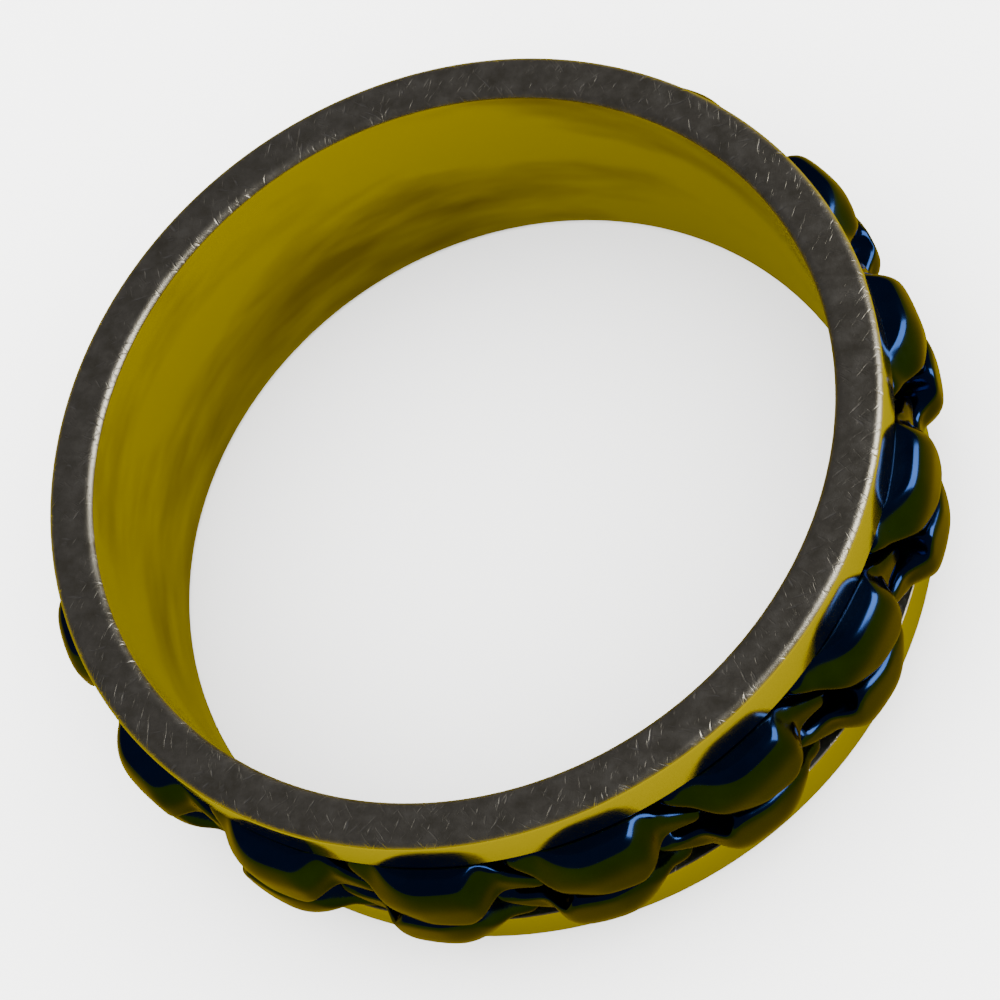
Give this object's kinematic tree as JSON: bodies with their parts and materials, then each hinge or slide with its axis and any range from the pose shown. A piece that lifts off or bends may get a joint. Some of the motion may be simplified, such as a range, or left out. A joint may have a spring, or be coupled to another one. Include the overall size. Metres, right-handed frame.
{
  "type": "spinner ring",
  "caption": "Steel band ring with satin rims and a groove round its outside, in which a closed blue curb chain turns.",
  "frame": {"origin": "on the bore's axis, half way between the two rims", "axes": "+Z along the finger's axis, out of the rim that faces up as the ring lies; +X towards the chain's first link"},
  "size_m": [0.024, 0.024, 0.007],
  "materials": {
    "band_steel": "polished stainless steel, with satin flat rims that are lightly scratched",
    "chain_blue": "deep blue coated steel, polished"
  },
  "bodies": {
    "band": {"band": "band_steel"},
    "chain": {"link_01": "chain_blue", "link_02": "chain_blue", "link_03": "chain_blue", "link_04": "chain_blue", "link_05": "chain_blue", "link_06": "chain_blue", "link_07": "chain_blue", "link_08": "chain_blue", "link_09": "chain_blue", "link_10": "chain_blue", "link_11": "chain_blue", "link_12": "chain_blue", "link_13": "chain_blue", "link_14": "chain_blue", "link_15": "chain_blue", "link_16": "chain_blue"}
  },
  "joints": [
    {"name": "chain_spin", "type": "hinge", "parent": "band", "child": "chain", "pos_m": [0, 0, 0], "axis": [0, 0, 1], "continuous": true}
  ]
}
